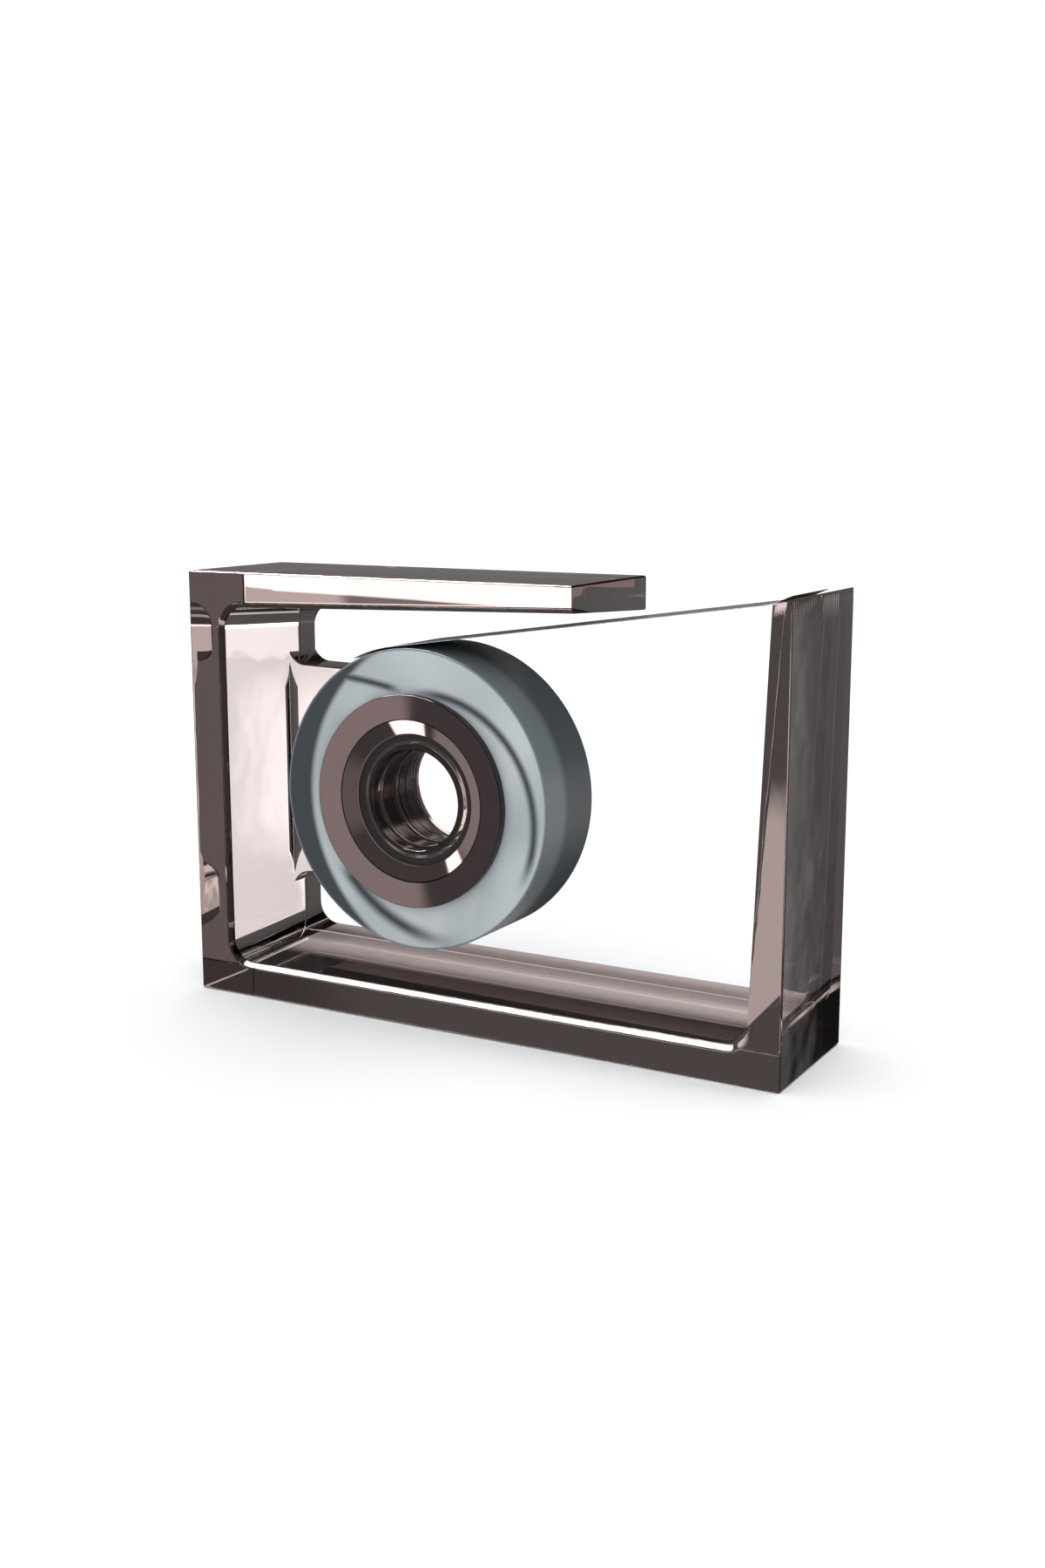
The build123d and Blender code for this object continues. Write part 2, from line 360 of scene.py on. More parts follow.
tape_film = moulded("loose_film", (0.10, 0.115, 0.125), 0.22, 900.0, 0.000004, 0.8)
core_plastic = moulded("dark_core_plastic", (0.030, 0.026, 0.026), 0.25, 700.0, 0.00001, 0.7)
washer_plastic = moulded("grey_washer_plastic", (0.16, 0.15, 0.15), 0.45, 600.0, 0.00001, 0.85)
wheel_plastic = clear("clear_wheel_plastic", 60.0, 0.05, ACRYLIC_IOR, 120.0, 0.00001)
grip_rubber = clear("clear_grip_rubber", 300.0, 0.3, 1.43, 400.0, 0.000004)
print("made", [m.name for m in (tape_film, core_plastic, washer_plastic, wheel_plastic, grip_rubber)])

# %% [markdown]
# The mesh helpers. A round piece is an outline of radius and depth, spun about the hub axis. Sharp
# edges get a small bevel, because no moulded edge is perfectly sharp and the bevel catches a line of
# light. Finished pieces shade smooth, with creases kept where faces meet at a clear angle.

# %% Mesh helpers
SMOOTH_BELOW = math.radians(28)
SAME = 1e-6


def spun(outline, steps=128):
    """Closed (radius, y) outline turned about the hub axis, as a bmesh."""
    bm = bmesh.new()
    corners = [bm.verts.new((hub_x + r, y, hub_z)) for r, y in outline]
    for i, corner in enumerate(corners):
        bm.edges.new((corner, corners[(i + 1) % len(corners)]))
    bmesh.ops.spin(bm, geom=bm.verts[:] + bm.edges[:], cent=hub, axis=(0, 1, 0),
                   angle=2 * math.pi, steps=steps, use_merge=True)
    bmesh.ops.remove_doubles(bm, verts=bm.verts[:], dist=1e-7)
    bmesh.ops.recalc_face_normals(bm, faces=bm.faces[:])
    return bm


def soften(bm, width, segments=3, edges=None):
    """Bevel the edges given, or all the sharp ones."""
    if edges is None:
        edges = [e for e in bm.edges if e.is_manifold and e.calc_face_angle(0) > SMOOTH_BELOW]
    bmesh.ops.bevel(bm, geom=edges, offset=width, offset_type="OFFSET", affect="EDGES",
                    segments=segments, profile=0.5, material=-1, clamp_overlap=False)
    return bm


def round_off(bm, edges, offset):
    """A big round corner, as a moulding tool leaves inside a frame."""
    bmesh.ops.bevel(bm, geom=edges, offset=offset, offset_type="OFFSET", affect="EDGES",
                    segments=16, profile=0.5, material=-1, clamp_overlap=True)


def open_edges(bm):
    return len([e for e in bm.edges if not e.is_manifold])


def new_verts(result):
    """The vertices that an extrusion made."""
    return [part for part in result["geom"] if isinstance(part, bmesh.types.BMVert)]


def to_object(bm, name):
    for face in bm.faces:
        face.smooth = True
    for edge in bm.edges:
        edge.smooth = not (edge.is_manifold and edge.calc_face_angle(0) > SMOOTH_BELOW)
    mesh = bpy.data.meshes.new(name)
    bm.to_mesh(mesh)
    bm.free()
    made = bpy.data.objects.new(name, mesh)
    bpy.context.scene.collection.objects.link(made)
    return made


def finish_piece(piece, material, body, cad_node):
    """Give the piece its finish, let it ride on its body, and let it stand for its CAD node."""
    piece.data.materials.clear()
    piece.data.materials.append(material)
    even = piece.modifiers.new("even_normals", "WEIGHTED_NORMAL")
    even.keep_sharp = True
    even.weight = 100
    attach(piece, body)
    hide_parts(cad_node)
    print(piece.name, len(piece.data.polygons), "faces")
    return piece


def combine(target, tool, operation):
    """Join or cut target with tool, and remove the tool."""
    step = target.modifiers.new(operation.lower(), "BOOLEAN")
    step.operation = operation
    step.object = tool
    step.solver = "EXACT"
    bpy.context.view_layer.update()
    seen = target.evaluated_get(bpy.context.evaluated_depsgraph_get())
    result = bpy.data.meshes.new_from_object(seen)
    target.modifiers.clear()
    old = target.data
    target.data = result
    bpy.data.meshes.remove(old)
    bpy.data.objects.remove(tool)
    return target


# %% [markdown]
# The block is one C-shaped section. Its inside walls lean a little from back to front, so that the
# moulding comes out of its tool, and so the section differs between the front and the rear face. We
# draw the front section, extrude it, and move its back corners to the rear section. Then the three
# inside corners are rounded. The front rim gets a flat chamfer, which catches a clear line of light,
# and every other rim gets a small round.

# %% The block's body
left, right = block_low.x, block_high.x
front, rear = block_low.y, block_high.y
top = block_high.z
tip_height = 89.9 * MM
cutter_rise = 1.2 / 3.8
arm_end = left + 90.7 * MM
inside_round = 4.7 * MM


def section(post, bar, root, tip, foot, post_top):
    """Corners of the C on one face, in millimetres from the outside."""
    return [
        (left, 0), (right, 0), (right, tip_height),
        (right - post_top * MM, tip_height - cutter_rise * post_top * MM),
        (right - foot * MM, bar * MM), (left + post * MM, bar * MM),
        (left + post * MM, top - root * MM), (arm_end, top - tip * MM), (arm_end, top), (left, top),
    ]


front_section = section(8.5, 7.2, 7.4, 5.2, 6.8, 3.8)
rear_section = section(9.1, 8.7, 9.1, 6.9, 7.4, 4.4)
TIP_CORNER = 2
ROUND_CORNERS = (4, 5, 6)
PLAIN_CORNERS = (0, 1, 8, 9)
PLAIN_SIDES = ((0, 1), (1, 2), (8, 9), (9, 0))


def block_body():
    bm = bmesh.new()
    corners = [bm.verts.new((x, front, z)) for x, z in front_section]
    for i, corner in enumerate(corners):
        bm.edges.new((corner, corners[(i + 1) % len(corners)]))
    bmesh.ops.contextual_create(bm, geom=bm.edges[:])
    grown = bmesh.ops.extrude_face_region(bm, geom=bm.faces[:])
    backs = {}
    for v in new_verts(grown):
        i = min(range(len(corners)), key=lambda k: (corners[k].co - v.co).length)
        backs[i] = v
    for i, v in backs.items():
        v.co = (rear_section[i][0], rear, rear_section[i][1])
    bmesh.ops.recalc_face_normals(bm, faces=bm.faces[:])

    def edge_between(a, b):
        return [e for e in a.link_edges if b in e.verts][0]

    outside = [edge_between(corners[i], backs[i]) for i in PLAIN_CORNERS]
    for i, k in PLAIN_SIDES:
        outside += [edge_between(corners[i], corners[k]), edge_between(backs[i], backs[k])]
    tip_middle = (corners[TIP_CORNER].co + backs[TIP_CORNER].co) / 2
    round_ones = [(corners[i].co.copy(), backs[i].co.copy()) for i in ROUND_CORNERS]
    soften(bm, 0.4 * MM, 4, outside)
    inside_corners = []
    for edge in bm.edges:
        ends = sorted((v.co for v in edge.verts), key=lambda co: co.y)
        for a, b in round_ones:
            if (ends[0] - a).length < SAME and (ends[1] - b).length < SAME:
                inside_corners.append(edge)
    round_off(bm, inside_corners, inside_round)
    front_chamfer, small_round = (front, 1.0 * MM, 1), (None, 0.25 * MM, 3)
    for face_y, width, segments in (front_chamfer, small_round):
        rims = []
        for edge in bm.edges:
            a, b = edge.verts[0].co, edge.verts[1].co
            sharp = edge.calc_face_angle(0) > SMOOTH_BELOW and abs(a.x - tip_middle.x) > 0.1 * MM
            on_face = face_y is None or max(abs(a.y - face_y), abs(b.y - face_y)) < 1e-7
            if sharp and on_face and max(a.z, b.z) < tip_height - 2 * MM:
                rims.append(edge)
        soften(bm, width, segments, rims)
    return bm


body_mesh = block_body()
print("body", len(body_mesh.faces), "faces,", open_edges(body_mesh), "open edges")
block = to_object(body_mesh, "smoky_block")

# %% [markdown]
# The tongue is the plate that reaches from the left post to behind the roll and carries the hub. Its
# outline is a few corners and a half round end, which a spin of one vertex makes. Where it leaves the
# post, its corners are round in both directions.

# %% The tongue
tongue_front = washer_high.y
end_radius = 21.4 * MM
root_top, root_bottom = 69.2 * MM, 22.4 * MM
wall = left + 8.5 * MM
inside_post = left + 4.2 * MM
root_reach = 9.4 * MM


def tongue():
    bm = bmesh.new()
    start = bm.verts.new((hub_x, tongue_front, hub_z + end_radius))
    bmesh.ops.spin(bm, geom=[start], cent=(hub_x, tongue_front, hub_z), axis=(0, 1, 0),
                   angle=math.pi, steps=48, use_duplicate=False)
    last = min(bm.verts, key=lambda v: v.co.z)
    corners = [
        (wall, root_bottom), (wall, root_bottom - root_reach), (inside_post, root_bottom - root_reach),
        (inside_post, root_top + root_reach), (wall, root_top + root_reach), (wall, root_top),
    ]
    chain = [last] + [bm.verts.new((x, tongue_front, z)) for x, z in corners] + [start]
    for a, b in zip(chain, chain[1:]):
        bm.edges.new((a, b))
    bmesh.ops.contextual_create(bm, geom=bm.edges[:])
    plate = bmesh.ops.extrude_face_region(bm, geom=bm.faces[:])
    bmesh.ops.translate(bm, verts=new_verts(plate), vec=(0, rear - tongue_front, 0))
    bmesh.ops.recalc_face_normals(bm, faces=bm.faces[:])
    roots = []
    for edge in bm.edges:
        a, b = edge.verts[0].co, edge.verts[1].co
        straight_back = abs(a.y - b.y) > MM
        at_root = abs(a.x - wall) < SAME and min(abs(a.z - root_top), abs(a.z - root_bottom)) < SAME
        if straight_back and at_root:
            roots.append(edge)
    round_off(bm, roots, inside_round)
    rim = []
    for edge in bm.edges:
        a, b = edge.verts[0].co, edge.verts[1].co
        outside_post = min(a.x, b.x) > wall - SAME
        if edge.calc_face_angle(0) > SMOOTH_BELOW and outside_post and abs(a.y - b.y) < SAME:
            rim.append(edge)
    soften(bm, 0.35 * MM, 3, rim)
    return bm


tongue_mesh = tongue()
print("tongue", len(tongue_mesh.faces), "faces,", open_edges(tongue_mesh), "open edges")
combine(block, to_object(tongue_mesh, "tongue_tool"), "UNION")

# %% [markdown]
# The corner between the tongue's front and the post is rounded too. It is a concave strip, made as a
# quarter arc drawn along the corner and brought to nothing at both ends.

# %% The root fillet
def root_fillet():
    reach = 2.1 * MM
    corner_x = left + 8.92 * MM
    bm = bmesh.new()
    arc_start = bm.verts.new((corner_x + reach, tongue_front, 0))
    arc_centre = (corner_x + reach, tongue_front - reach, 0)
    bmesh.ops.spin(bm, geom=[arc_start], cent=arc_centre, axis=(0, 0, 1), angle=math.pi / 2,
                   steps=10, use_duplicate=False)
    arc_end = min(bm.verts, key=lambda v: v.co.x)
    sunk = 0.35 * MM
    hidden = [(corner_x - sunk, tongue_front - reach, 0), (corner_x - sunk, tongue_front + sunk, 0),
              (corner_x + reach, tongue_front + sunk, 0)]
    chain = [arc_end] + [bm.verts.new(p) for p in hidden] + [arc_start]
    for a, b in zip(chain, chain[1:]):
        bm.edges.new((a, b))
    bmesh.ops.contextual_create(bm, geom=bm.edges[:])
    anchor = Vector((corner_x - sunk / 2, tongue_front + sunk / 2, 0))
    run_out = 5.0 * MM
    thin = 0.12
    stops = [(root_bottom - MM, thin), (root_bottom + run_out, 1),
             (root_top - run_out, 1), (root_top + MM, thin)]
    moving, height, size = bm.verts[:], 0.0, 1.0
    for next_height, next_size in stops:
        bmesh.ops.scale(bm, verts=moving, vec=(next_size / size, next_size / size, 1),
                        space=Matrix.Translation(-anchor))
        bmesh.ops.translate(bm, verts=moving, vec=(0, 0, next_height - height))
        height, size = next_height, next_size
        if height < stops[-1][0]:
            top_face = max(bm.faces, key=lambda f: f.calc_center_median().z)
            is_first = len(bm.faces) == 1
            grown = bmesh.ops.extrude_face_region(bm, geom=[top_face])
            moving = new_verts(grown)
            if not is_first:
                bmesh.ops.delete(bm, geom=[top_face], context="FACES_ONLY")
    bmesh.ops.recalc_face_normals(bm, faces=bm.faces[:])
    return bm


fillet_mesh = root_fillet()
print("fillet", len(fillet_mesh.faces), "faces,", open_edges(fillet_mesh), "open edges")
combine(block, to_object(fillet_mesh, "fillet_tool"), "UNION")

# %% [markdown]
# The hub is a tube moulded on the tongue, closed at its rear by the tongue itself. We join a solid
# bar and cut its bore. Both are spun outlines with a small round at the mouth and at the floor.

# %% The hub tube
tube_front = wheel_low.y
hub_floor = 2.7 * MM
tube_radius, bore_radius = 12.0 * MM, 11.25 * MM


def bar(radius, from_y, to_y):
    """Round bar on the hub axis."""
    bm = bmesh.new()
    bmesh.ops.create_cone(bm, cap_ends=True, segments=128, radius1=radius, radius2=radius,
                          depth=to_y - from_y)
    bmesh.ops.rotate(bm, verts=bm.verts[:], cent=(0, 0, 0), matrix=Matrix.Rotation(math.pi / 2, 3, "X"))
    bmesh.ops.translate(bm, verts=bm.verts[:], vec=(hub_x, (from_y + to_y) / 2, hub_z))
    return bm


tube_bar = bar(tube_radius, tube_front, tongue_front + MM)
mouth_edges = [e for e in tube_bar.edges if all(abs(v.co.y - tube_front) < 1e-7 for v in e.verts)]
soften(tube_bar, 0.2 * MM, 3, mouth_edges)
combine(block, to_object(tube_bar, "tube_tool"), "UNION")
bore = bar(bore_radius, tube_front - MM, hub_floor)
floor_edges = [e for e in bore.edges if all(abs(v.co.y - hub_floor) < 1e-7 for v in e.verts)]
soften(bore, 0.6 * MM, 5, floor_edges)
combine(block, to_object(bore, "bore_tool"), "DIFFERENCE")
print("block with hub", len(block.data.polygons), "faces")

# %% [markdown]
# The cutter is a row of teeth moulded into the outer edge of the right post. Between each two teeth
# there is a V groove, which starts at the edge and runs out lower down the outer face.

# %% The cutter's teeth
TOOTH_COUNT = 29
groove_length = 5.2 * MM
groove_depth = 0.55 * MM


def grooves():
    bm = bmesh.new()
    pitch = (rear - front) / TOOTH_COUNT
    over = 1.0 * MM
    grow = 1 + over / groove_length
    outer_x = right + 0.02 * MM
    for i in range(TOOTH_COUNT + 1):
        y = front + i * pitch
        half = pitch / 2 * grow * 0.98
        corners = [(outer_x, y - half, tip_height + over), (outer_x, y + half, tip_height + over),
                   (right - groove_depth * grow, y, tip_height + over),
                   (outer_x, y, tip_height - groove_length)]
        made = [bm.verts.new(c) for c in corners]
        bmesh.ops.convex_hull(bm, input=made)
    bmesh.ops.recalc_face_normals(bm, faces=bm.faces[:])
    return bm


combine(block, to_object(grooves(), "groove_tool"), "DIFFERENCE")
tidy = bmesh.new()
tidy.from_mesh(block.data)
bmesh.ops.remove_doubles(tidy, verts=tidy.verts[:], dist=2e-6)
bmesh.ops.dissolve_degenerate(tidy, edges=tidy.edges[:], dist=1e-6)
print("block", len(tidy.faces), "faces,", open_edges(tidy), "open edges")
bpy.data.objects.remove(block)
block = to_object(tidy, "smoky_block")
finish_piece(block, block_acrylic, "block", "frame_block")

# %% [markdown]
# The retaining cap is one turned ring: a dished face, a countersink, a flat step, and a skirt that
# plugs into the hub tube. A groove near the skirt's tip holds the soft ring that grips the tube. Two
# low beads inside the skirt catch thin crescents of light. The face and the beads have the mirror-like
# finish, and the rest has the dense dyed plastic, which also paints thin dark lines of shade at the
# dish's crease and the outer rim.

# %% The retaining cap
cap_front, cap_back = cap_low.y, roll_low.y - 0.15 * MM
dish_y = cap_front + 0.8 * MM
step_y = dish_y + 1.5 * MM
step_back_y = tube_front - 0.25 * MM
skirt_radius = bore_radius - 0.05 * MM
grip_y = (grip_low.y + grip_high.y) / 2
groove_half = 0.35 * MM
groove_floor = skirt_radius - 0.52 * MM
cap_radius = (cap_high.x - cap_low.x) / 2
cap_bore = 10.25 * MM
dish_radius, step_radius = 16.35 * MM, 13.35 * MM
bead = [(cap_bore, 0), (10.0 * MM, 0.35 * MM), (9.95 * MM, 0.8 * MM), (10.0 * MM, 1.25 * MM),
        (cap_bore, 1.6 * MM)]
bead_places = [step_y + share * (cap_high.y - step_y) for share in (0.20, 0.62)]
cap_outline = [
    (cap_radius, cap_back), (cap_radius, cap_front), (dish_radius, dish_y), (step_radius, step_y),
    (cap_bore, step_y), *[(radius, bead_y + ahead) for bead_y in bead_places for radius, ahead in bead],
    (cap_bore, cap_high.y), (skirt_radius, cap_high.y),
    (skirt_radius, grip_y + groove_half), (groove_floor, grip_y + groove_half),
    (groove_floor, grip_y - groove_half), (skirt_radius, grip_y - groove_half),
    (skirt_radius, step_back_y), (core_radius - 0.25 * MM, step_back_y),
    (core_radius - 0.25 * MM, cap_back),
]
cap_mesh = spun(cap_outline, 160)
step_edges = [e for e in cap_mesh.edges if e.calc_face_angle(0) > math.radians(12)
              and abs(e.verts[0].co.y - e.verts[1].co.y) < 1e-7]
soften(cap_mesh, 0.14 * MM, 3, step_edges)
print("cap", open_edges(cap_mesh), "open edges")
cap = to_object(cap_mesh, "dished_cap")
finish_piece(cap, cap_acrylic, "cap", "retaining_cap")
cap.data.materials.append(cap_inside)
MIRROR_LIKE, DYED = 0, 1
for face in cap.data.polygons:
    from_axis = math.hypot(face.center.x - hub_x, face.center.z - hub_z)
    on_bead = from_axis < cap_bore - 0.05 * MM
    inside = from_axis < step_radius - 0.05 * MM
    behind = face.center.y > cap_front + 3.0 * MM
    # The outer rim and the crease get the nearly black plastic as painted dark lines of shade.
    rim_shade_line = from_axis > cap_radius - 0.12 * MM
    crease_shade_line = abs(from_axis - dish_radius) < 0.10 * MM
    dyed = not on_bead and (inside or behind or rim_shade_line or crease_shade_line)
    face.material_index = DYED if dyed else MIRROR_LIKE
print("dyed faces of the cap", sum(face.material_index for face in cap.data.polygons))

# %% [markdown]
# The soft ring in the cap's groove is a torus: a small circle spun about the hub axis.

# %% The grip ring
grip_section = (grip_high.y - grip_low.y) / 2
grip_radius = (grip_high.x - grip_low.x) / 2 - grip_section
ring_mesh = bmesh.new()
bmesh.ops.create_circle(ring_mesh, segments=12, radius=grip_section)
bmesh.ops.translate(ring_mesh, verts=ring_mesh.verts[:], vec=(hub_x + grip_radius, 0, hub_z))
for v in ring_mesh.verts:
    v.co = (v.co.x, grip_y + v.co.y, hub_z)
bmesh.ops.spin(ring_mesh, geom=ring_mesh.verts[:] + ring_mesh.edges[:], cent=hub, axis=(0, 1, 0),
               angle=2 * math.pi, steps=96, use_merge=True)
bmesh.ops.remove_doubles(ring_mesh, verts=ring_mesh.verts[:], dist=1e-7)
bmesh.ops.recalc_face_normals(ring_mesh, faces=ring_mesh.faces[:])
grip = to_object(ring_mesh, "cap_soft_ring")
finish_piece(grip, grip_rubber, "cap", "cap_grip_ring")

# %% [markdown]
# The roll of tape and its core are plain rings with rounded edges. The tape's edges are softer than
# the plastic's, because the layers are never perfectly in line.

# %% Roll and core
roll_mesh = spun([(core_radius, roll_low.y), (core_radius, roll_high.y),
                  (roll_radius, roll_high.y), (roll_radius, roll_low.y)], 192)
soften(roll_mesh, 0.18 * MM, 3)
roll = to_object(roll_mesh, "wound_tape_roll")
finish_piece(roll, wound_tape, "roll", "tape_roll")
core_mesh = spun([(13.0 * MM, core_low.y), (13.0 * MM, core_high.y),
                  (core_radius, core_high.y), (core_radius, core_low.y)], 160)
soften(core_mesh, 0.25 * MM, 3)
core = to_object(core_mesh, "tape_core_ring")
finish_piece(core, core_plastic, "roll", "tape_core")

# %% [markdown]
# The hub wheel turns on the tube. It has a thin sleeve, a flange behind the roll, and six low ribs
# that grip the core. The ribs are small rounded bars joined to the sleeve.

# %% The hub wheel
sleeve_radius = 12.75 * MM
wheel_bore = tube_radius + 0.05 * MM
wheel_radius = (wheel_high.x - wheel_low.x) / 2
rib_radius = 12.98 * MM
wheel_outline = [
    (wheel_bore, wheel_low.y), (sleeve_radius, wheel_low.y), (sleeve_radius, roll_high.y),
    (wheel_radius, roll_high.y), (wheel_radius, wheel_high.y), (wheel_bore, wheel_high.y),
]
wheel_mesh = spun(wheel_outline)
soften(wheel_mesh, 0.15 * MM, 2)
wheel = to_object(wheel_mesh, "hub_wheel_sleeve")


RIB_COUNT = 6


def ribs():
    bm = bmesh.new()
    length = roll_high.y - wheel_low.y - 1.0 * MM
    for i in range(RIB_COUNT):
        made = bmesh.ops.create_cube(bm, size=1.0)
        bmesh.ops.scale(bm, verts=made["verts"], vec=(0.5 * MM, length, 1.6 * MM))
        place = Vector((rib_radius - 0.25 * MM, wheel_low.y + 0.5 * MM + length / 2, 0))
        bmesh.ops.translate(bm, verts=made["verts"], vec=place)
        turn = Matrix.Rotation(i * 2 * math.pi / RIB_COUNT, 3, "Y")
        bmesh.ops.rotate(bm, verts=made["verts"], cent=(0, 0, 0), matrix=turn)
        bmesh.ops.translate(bm, verts=made["verts"], vec=hub)
    soften(bm, 0.12 * MM, 2)
    return bm


combine(wheel, to_object(ribs(), "rib_tool"), "UNION")
wheel_tidy = bmesh.new()
wheel_tidy.from_mesh(wheel.data)
bpy.data.objects.remove(wheel)
wheel = to_object(wheel_tidy, "hub_wheel_sleeve")
finish_piece(wheel, wheel_plastic, "roll", "hub_wheel")

# %% [markdown]
# The drag washer lies flat between the wheel and the tongue.

# %% The drag washer
washer_radius = (washer_high.x - washer_low.x) / 2
washer_mesh = spun([(tube_radius, washer_low.y), (tube_radius, washer_high.y),
                    (washer_radius, washer_high.y), (washer_radius, washer_low.y)], 128)
soften(washer_mesh, 0.15 * MM, 2)
washer = to_object(washer_mesh, "drag_washer_ring")
finish_piece(washer, washer_plastic, "block", "drag_washer")

# %% [markdown]
# The loose end of the tape is a thin film. It follows the roll's top, leaves it on a tangent, runs
# straight to the cutter and bends up a little over the post. One edge across the film is moved along
# this path, so the film is a spin for the wrapped part and two extrusions for the rest. Its end is
# pinked by the cutter's teeth.

# %% The loose end of the tape
strip_low, strip_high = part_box("tape_strip")
film = 0.10 * MM
cad_film = 0.25 * MM
strip_slope, end_slope = 0.145, 0.43
wrap_angle = math.radians(18)
bend_radius = 12.0 * MM
tooth_bite = 0.45 * MM
middle_radius = roll_radius + 0.3 * MM + cad_film / 2
leave = math.atan(strip_slope)
climb = math.atan(end_slope)


def loose_end():
    bm = bmesh.new()
    width = strip_high.y - strip_low.y
    across = 34
    first = [bm.verts.new((0, strip_low.y + width * i / across, 0)) for i in range(across + 1)]
    edges = [bm.edges.new((a, b)) for a, b in zip(first, first[1:])]
    bmesh.ops.translate(bm, verts=first, vec=(hub_x, 0, hub_z + middle_radius))
    bmesh.ops.rotate(bm, verts=first, cent=hub, matrix=Matrix.Rotation(-leave - wrap_angle, 3, "Y"))
    spun_part = bmesh.ops.spin(bm, geom=first + edges, cent=hub, axis=(0, 1, 0), angle=wrap_angle,
                               steps=12)
    last = [g for g in spun_part["geom_last"] if isinstance(g, bmesh.types.BMEdge)]
    peel = last[0].verts[0].co.copy()
    rest_x = right - (3.8 + 0.6 * 19 / 32) * MM
    rest_z = tip_height - cutter_rise * (right - rest_x) + cad_film / 2 * math.sqrt(1 + end_slope ** 2)
    run = rest_z - end_slope * rest_x - peel.z + strip_slope * peel.x
    bend_x = run / (strip_slope - end_slope)
    trim = bend_radius * math.tan((climb - leave) / 2)
    straight = (bend_x - peel.x) / math.cos(leave) - trim

    def onward(edges, vec):
        grown = bmesh.ops.extrude_edge_only(bm, edges=edges)
        moved = new_verts(grown)
        bmesh.ops.translate(bm, verts=moved, vec=vec)
        return [g for g in grown["geom"]
                if isinstance(g, bmesh.types.BMEdge) and all(v in moved for v in g.verts)]

    for _ in range(8):
        last = onward(last, Vector((math.cos(leave), 0, math.sin(leave))) * straight / 8)
    at = last[0].verts[0].co
    pivot = Vector((at.x - bend_radius * math.sin(leave), 0, at.z + bend_radius * math.cos(leave)))
    bent = bmesh.ops.spin(bm, geom=last + list({v for e in last for v in e.verts}), cent=pivot,
                          axis=(0, 1, 0), angle=-(climb - leave), steps=6)
    last = [g for g in bent["geom_last"] if isinstance(g, bmesh.types.BMEdge)]
    left_over = (strip_high.x - 0.1 * MM - last[0].verts[0].co.x) / math.cos(climb)
    for _ in range(2):
        last = onward(last, Vector((math.cos(climb), 0, math.sin(climb))) * left_over / 2)
    ends = sorted({v for e in last for v in e.verts}, key=lambda v: v.co.y)
    back = Vector((math.cos(climb), 0, math.sin(climb))) * -tooth_bite
    bmesh.ops.translate(bm, verts=ends[0::2], vec=back)
    bmesh.ops.remove_doubles(bm, verts=bm.verts[:], dist=1e-7)
    bmesh.ops.recalc_face_normals(bm, faces=bm.faces[:])
    return bm


strip = to_object(loose_end(), "loose_tape_end")
thicken = strip.modifiers.new("film_thickness", "SOLIDIFY")
thicken.thickness = film
thicken.offset = 0
finish_piece(strip, tape_film, "block", "tape_strip")

# %% [markdown]
# The stage is a wide pale floor with no gloss, so that it stays one even white up to the horizon. It
# lies a hair below the block, so that the two faces don't fight.

# %% The floor
floor_mesh = bmesh.new()
bmesh.ops.create_grid(floor_mesh, x_segments=4, y_segments=4, size=30.0)
bmesh.ops.translate(floor_mesh, verts=floor_mesh.verts[:], vec=(0, 0, block_low.z - 0.15 * MM))
floor = to_object(floor_mesh, "pale_floor")
floor_material, _, floor_shader = new_material("pale_floor_card")
floor_shader.inputs["Base Color"].default_value = (0.775, 0.79, 0.805, 1)
floor_shader.inputs["Specular IOR Level"].default_value = 0.0
floor.data.materials.append(floor_material)
floor.visible_transmission = False
floor.visible_glossy = False
print("floor at", round((block_low.z - 0.15 * MM) / MM, 2), "mm")

# %% [markdown]
# Under the block, the table is in shade near the front and lighter towards the rear. A small card in
# the gap is what the plastic shows there, with a ramp of brightness from front to rear. Only rays that
# have been through the plastic see it.

# %% The shade under the block
shade_mesh = bmesh.new()
bmesh.ops.create_grid(shade_mesh, x_segments=1, y_segments=1, size=0.5)
shade_size = (block_high.x - block_low.x + 2 * MM, block_high.y - block_low.y + 2 * MM, 1)
bmesh.ops.scale(shade_mesh, verts=shade_mesh.verts[:], vec=shade_size)
bmesh.ops.translate(shade_mesh, verts=shade_mesh.verts[:], vec=(0, 0, block_low.z - 0.1 * MM))
shade = to_object(shade_mesh, "shade_card")
shade_material, shade_tree, shade_shader = new_material("shade_card")
shade_shader.inputs["Base Color"].default_value = (0.02, 0.02, 0.02, 1)
shade_shader.inputs["Emission Color"].default_value = (1, 0.88, 0.86, 1)
where = node(shade_tree, "ShaderNodeTexCoord")
across = node(shade_tree, "ShaderNodeSeparateXYZ")
depth_share = node(shade_tree, "ShaderNodeMapRange")
depth_share.inputs["From Min"].default_value = block_low.y
depth_share.inputs["From Max"].default_value = block_high.y
bands = node(shade_tree, "ShaderNodeValToRGB")
levels = ((0.0, 0.003), (0.52, 0.01), (0.58, 0.35), (0.68, 0.9), (0.80, 1.3), (0.90, 0.75), (1.0, 0.6))
ramp = bands.color_ramp.elements
while len(ramp) < len(levels):
    ramp.new(0.5)
for element, (place, level) in zip(ramp, levels):
    element.position = place
    element.color = (level, level, level, 1)
shade_tree.links.new(where.outputs["Object"], across.inputs["Vector"])
shade_tree.links.new(across.outputs["Y"], depth_share.inputs["Value"])
shade_tree.links.new(depth_share.outputs["Result"], bands.inputs["Fac"])
shade_tree.links.new(bands.outputs["Color"], shade_shader.inputs["Emission Strength"])
shade.data.materials.append(shade_material)
shade.visible_camera = False
shade.visible_diffuse = False
shade.visible_glossy = False
shade.visible_shadow = False
print("shade card with", len(ramp), "levels")

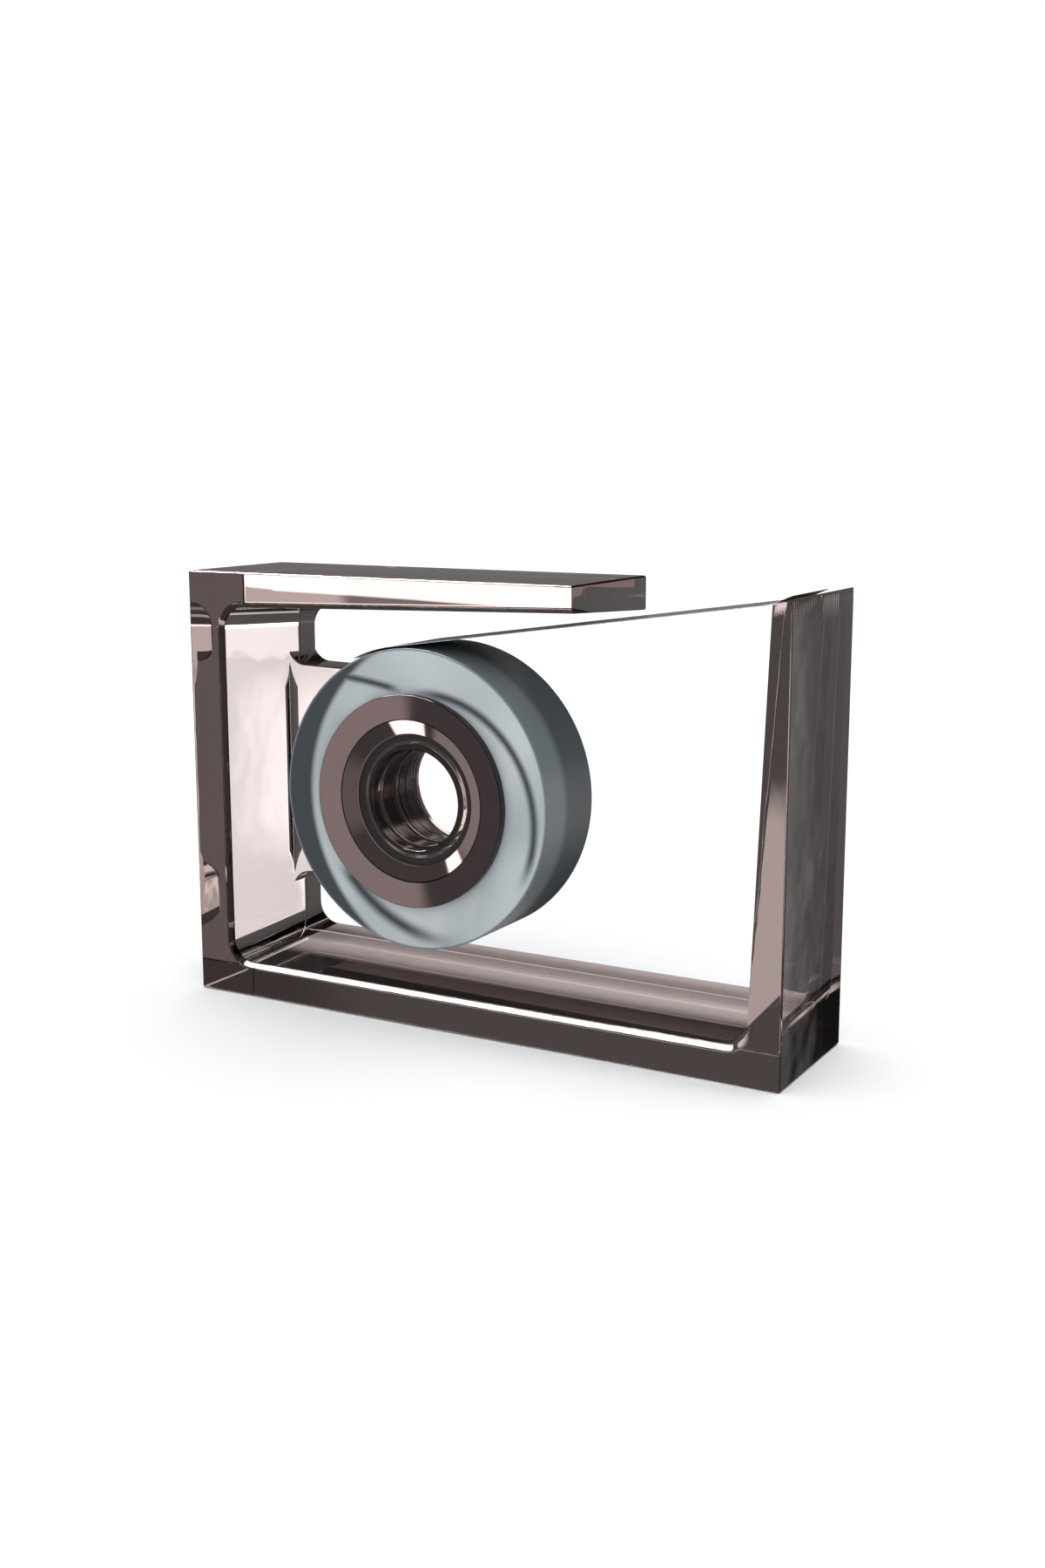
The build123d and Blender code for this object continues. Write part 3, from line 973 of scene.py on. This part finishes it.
# %% [markdown]
# The light. Clear plastic shows its shape by what it bends and mirrors, so the room needs bright and
# dark parts. Real studios use cards and softboxes. Here the cards are soft rectangles in the world,
# each with an aim and a size, and there are separate sets for what is seen through the plastic and for
# what its faces mirror, which a studio does with flags and polarisers. The note beside a card says what
# it lights most, as seen from the camera. Other parts catch a little of it too.

# %% World
world = bpy.data.worlds.new("studio")
bpy.context.scene.world = world
world.use_nodes = True
sky = world.node_tree
backdrop = sky.nodes["Background"]
direction = node(sky, "ShaderNodeTexCoord")


def along(vector):
    facing = node(sky, "ShaderNodeVectorMath", operation="DOT_PRODUCT")
    facing.inputs[1].default_value = vector
    sky.links.new(direction.outputs["Generated"], facing.inputs[0])
    return facing.outputs["Value"]


def card(turn, height, half_width, half_height, soft, strength, lean=0):
    """A soft-edged card of light. turn is its compass angle from +Y towards +X and height its angle
    above the horizon. lean turns it in its own plane. All angles are in degrees."""
    a, h = math.radians(turn), math.radians(height)
    aim = Vector((math.sin(a) * math.cos(h), math.cos(a) * math.cos(h), math.sin(h)))
    side = aim.cross(Vector((0, 0, 1))).normalized()
    side.rotate(Quaternion(aim, math.radians(-lean)))
    up = side.cross(aim)
    ahead = along(aim)
    shape = arithmetic(sky, "GREATER_THAN", ahead, 0.0)
    for axis, half in ((side, half_width), (up, half_height)):
        share = arithmetic(sky, "ABSOLUTE", arithmetic(sky, "DIVIDE", along(axis), ahead))
        dark_from = math.tan(math.radians(half + soft / 2))
        full_from = math.tan(math.radians(max(half - soft / 2, 0)))
        shape = arithmetic(sky, "MULTIPLY", shape, fade(sky, share, dark_from, full_from))
    return arithmetic(sky, "MULTIPLY", shape, strength)


def total(base, cards):
    so_far = base
    for part in cards:
        so_far = arithmetic(sky, "ADD", so_far, part)
    return so_far


seen_through = total(0.12, [
    card(-33, -1.68, 12, 3.0, 0.08, 3.6, lean=-4),  # the white strip along the arm
    card(-33, -5.7, 12, 1.1, 0.2, 0.33, lean=-4),   # the mauve strip below it
    card(-37.0, -11.3, 1.8, 7.5, 0.6, 0.95),        # the left post's pale panel
    card(-32.3, -12.6, 2.9, 6.5, 1, 0.95),          # the light at the end of the bore
    card(-35.5, -10.0, 1.5, 2.5, 2, 0.5),           # a brighter cloud in the panel
    card(-32.3, -11, 3, 3, 1, 0.9),                 # the brighter middle of that
    card(38, -10, 11, 8, 5, 0.20),                  # the left post's front and its edge
    card(16, -17, 7, 4.5, 2, 0.9),                  # the right post's front
    card(-30, 62, 40, 22, 10, 1.6),                 # overhead, for the low corners and the bore
    card(-35, 26, 25, 3, 2, 0.9),                   # low overhead, for the arm's left end
])
mirrored = total(0.03, [
    card(-165, -10, 20, 28, 3, 0.55),               # the cap's flat face
    card(-98, 0, 10, 45, 5, 0.5),                   # the right of the cap's countersink
    card(-110, 15, 6, 6, 1.5, 5.0),                 # its lower bright patch
    card(-128, -52, 10, 8, 2, 5.0),                 # its upper bright patch
    card(156, -11, 12, 30, 8, 0.2),                 # its left
    card(-33, 4, 16, 5, 3, 0.18),                   # the arm's top
    card(29, -9, 8, 12, 3, 0.75),                   # the arm's end
    card(12, -12, 4.2, 14, 0.4, 0.9, lean=3),       # the block's right face
    card(-95, 57, 32, 17, 3, 32.0),                 # the bar's white front chamfer
])
PLAIN_LIGHT = 1.5
BACKGROUND = 1.3
print("cards made, world has", len(sky.nodes), "nodes")

# %% [markdown]
# The Light Path node says what kind of ray is asking. Each kind gets its own set. Light that was
# mirrored or came through the plastic is a little warm, as the smoky dye is.

# %% Which ray sees which light
ray = node(sky, "ShaderNodeLightPath")


def pick(when, yes, no):
    mix = node(sky, "ShaderNodeMix", data_type="FLOAT")
    for socket, value in zip(mix.inputs[:1] + mix.inputs[2:4], (when, no, yes)):
        feed(sky, socket, value)
    return mix.outputs[0]


through, mirror = ray.outputs["Is Transmission Ray"], ray.outputs["Is Glossy Ray"]
strength = pick(mirror, mirrored, PLAIN_LIGHT)
strength = pick(through, seen_through, strength)
strength = pick(ray.outputs["Is Camera Ray"], BACKGROUND, strength)
sky.links.new(strength, backdrop.inputs["Strength"])
tint = mixed(sky, arithmetic(sky, "MAXIMUM", mirror, through), (1, 1, 1, 1), (1, 0.93, 0.92, 1))
sky.links.new(tint, backdrop.inputs["Color"])
print("world made with", len(sky.nodes), "nodes")

# %% [markdown]
# Clear plastic needs many bounces, because light crosses the block several times before it leaves.
# The view is left plain, so white stays white.

# %% Render settings
scene = bpy.context.scene
scene.view_settings.view_transform = "Standard"
scene.view_settings.look = "None"
scene.cycles.max_bounces = 32
scene.cycles.transmission_bounces = 32
scene.cycles.glossy_bounces = 32
scene.cycles.transparent_max_bounces = 16
scene.cycles.use_denoising = True
scene.cycles.caustics_reflective = True
scene.cycles.caustics_refractive = True
scene.cycles.blur_glossy = 0.3
scene.cycles.sample_clamp_indirect = 6.0
scene.cycles.seed = 7
print("bounces", scene.cycles.max_bounces)
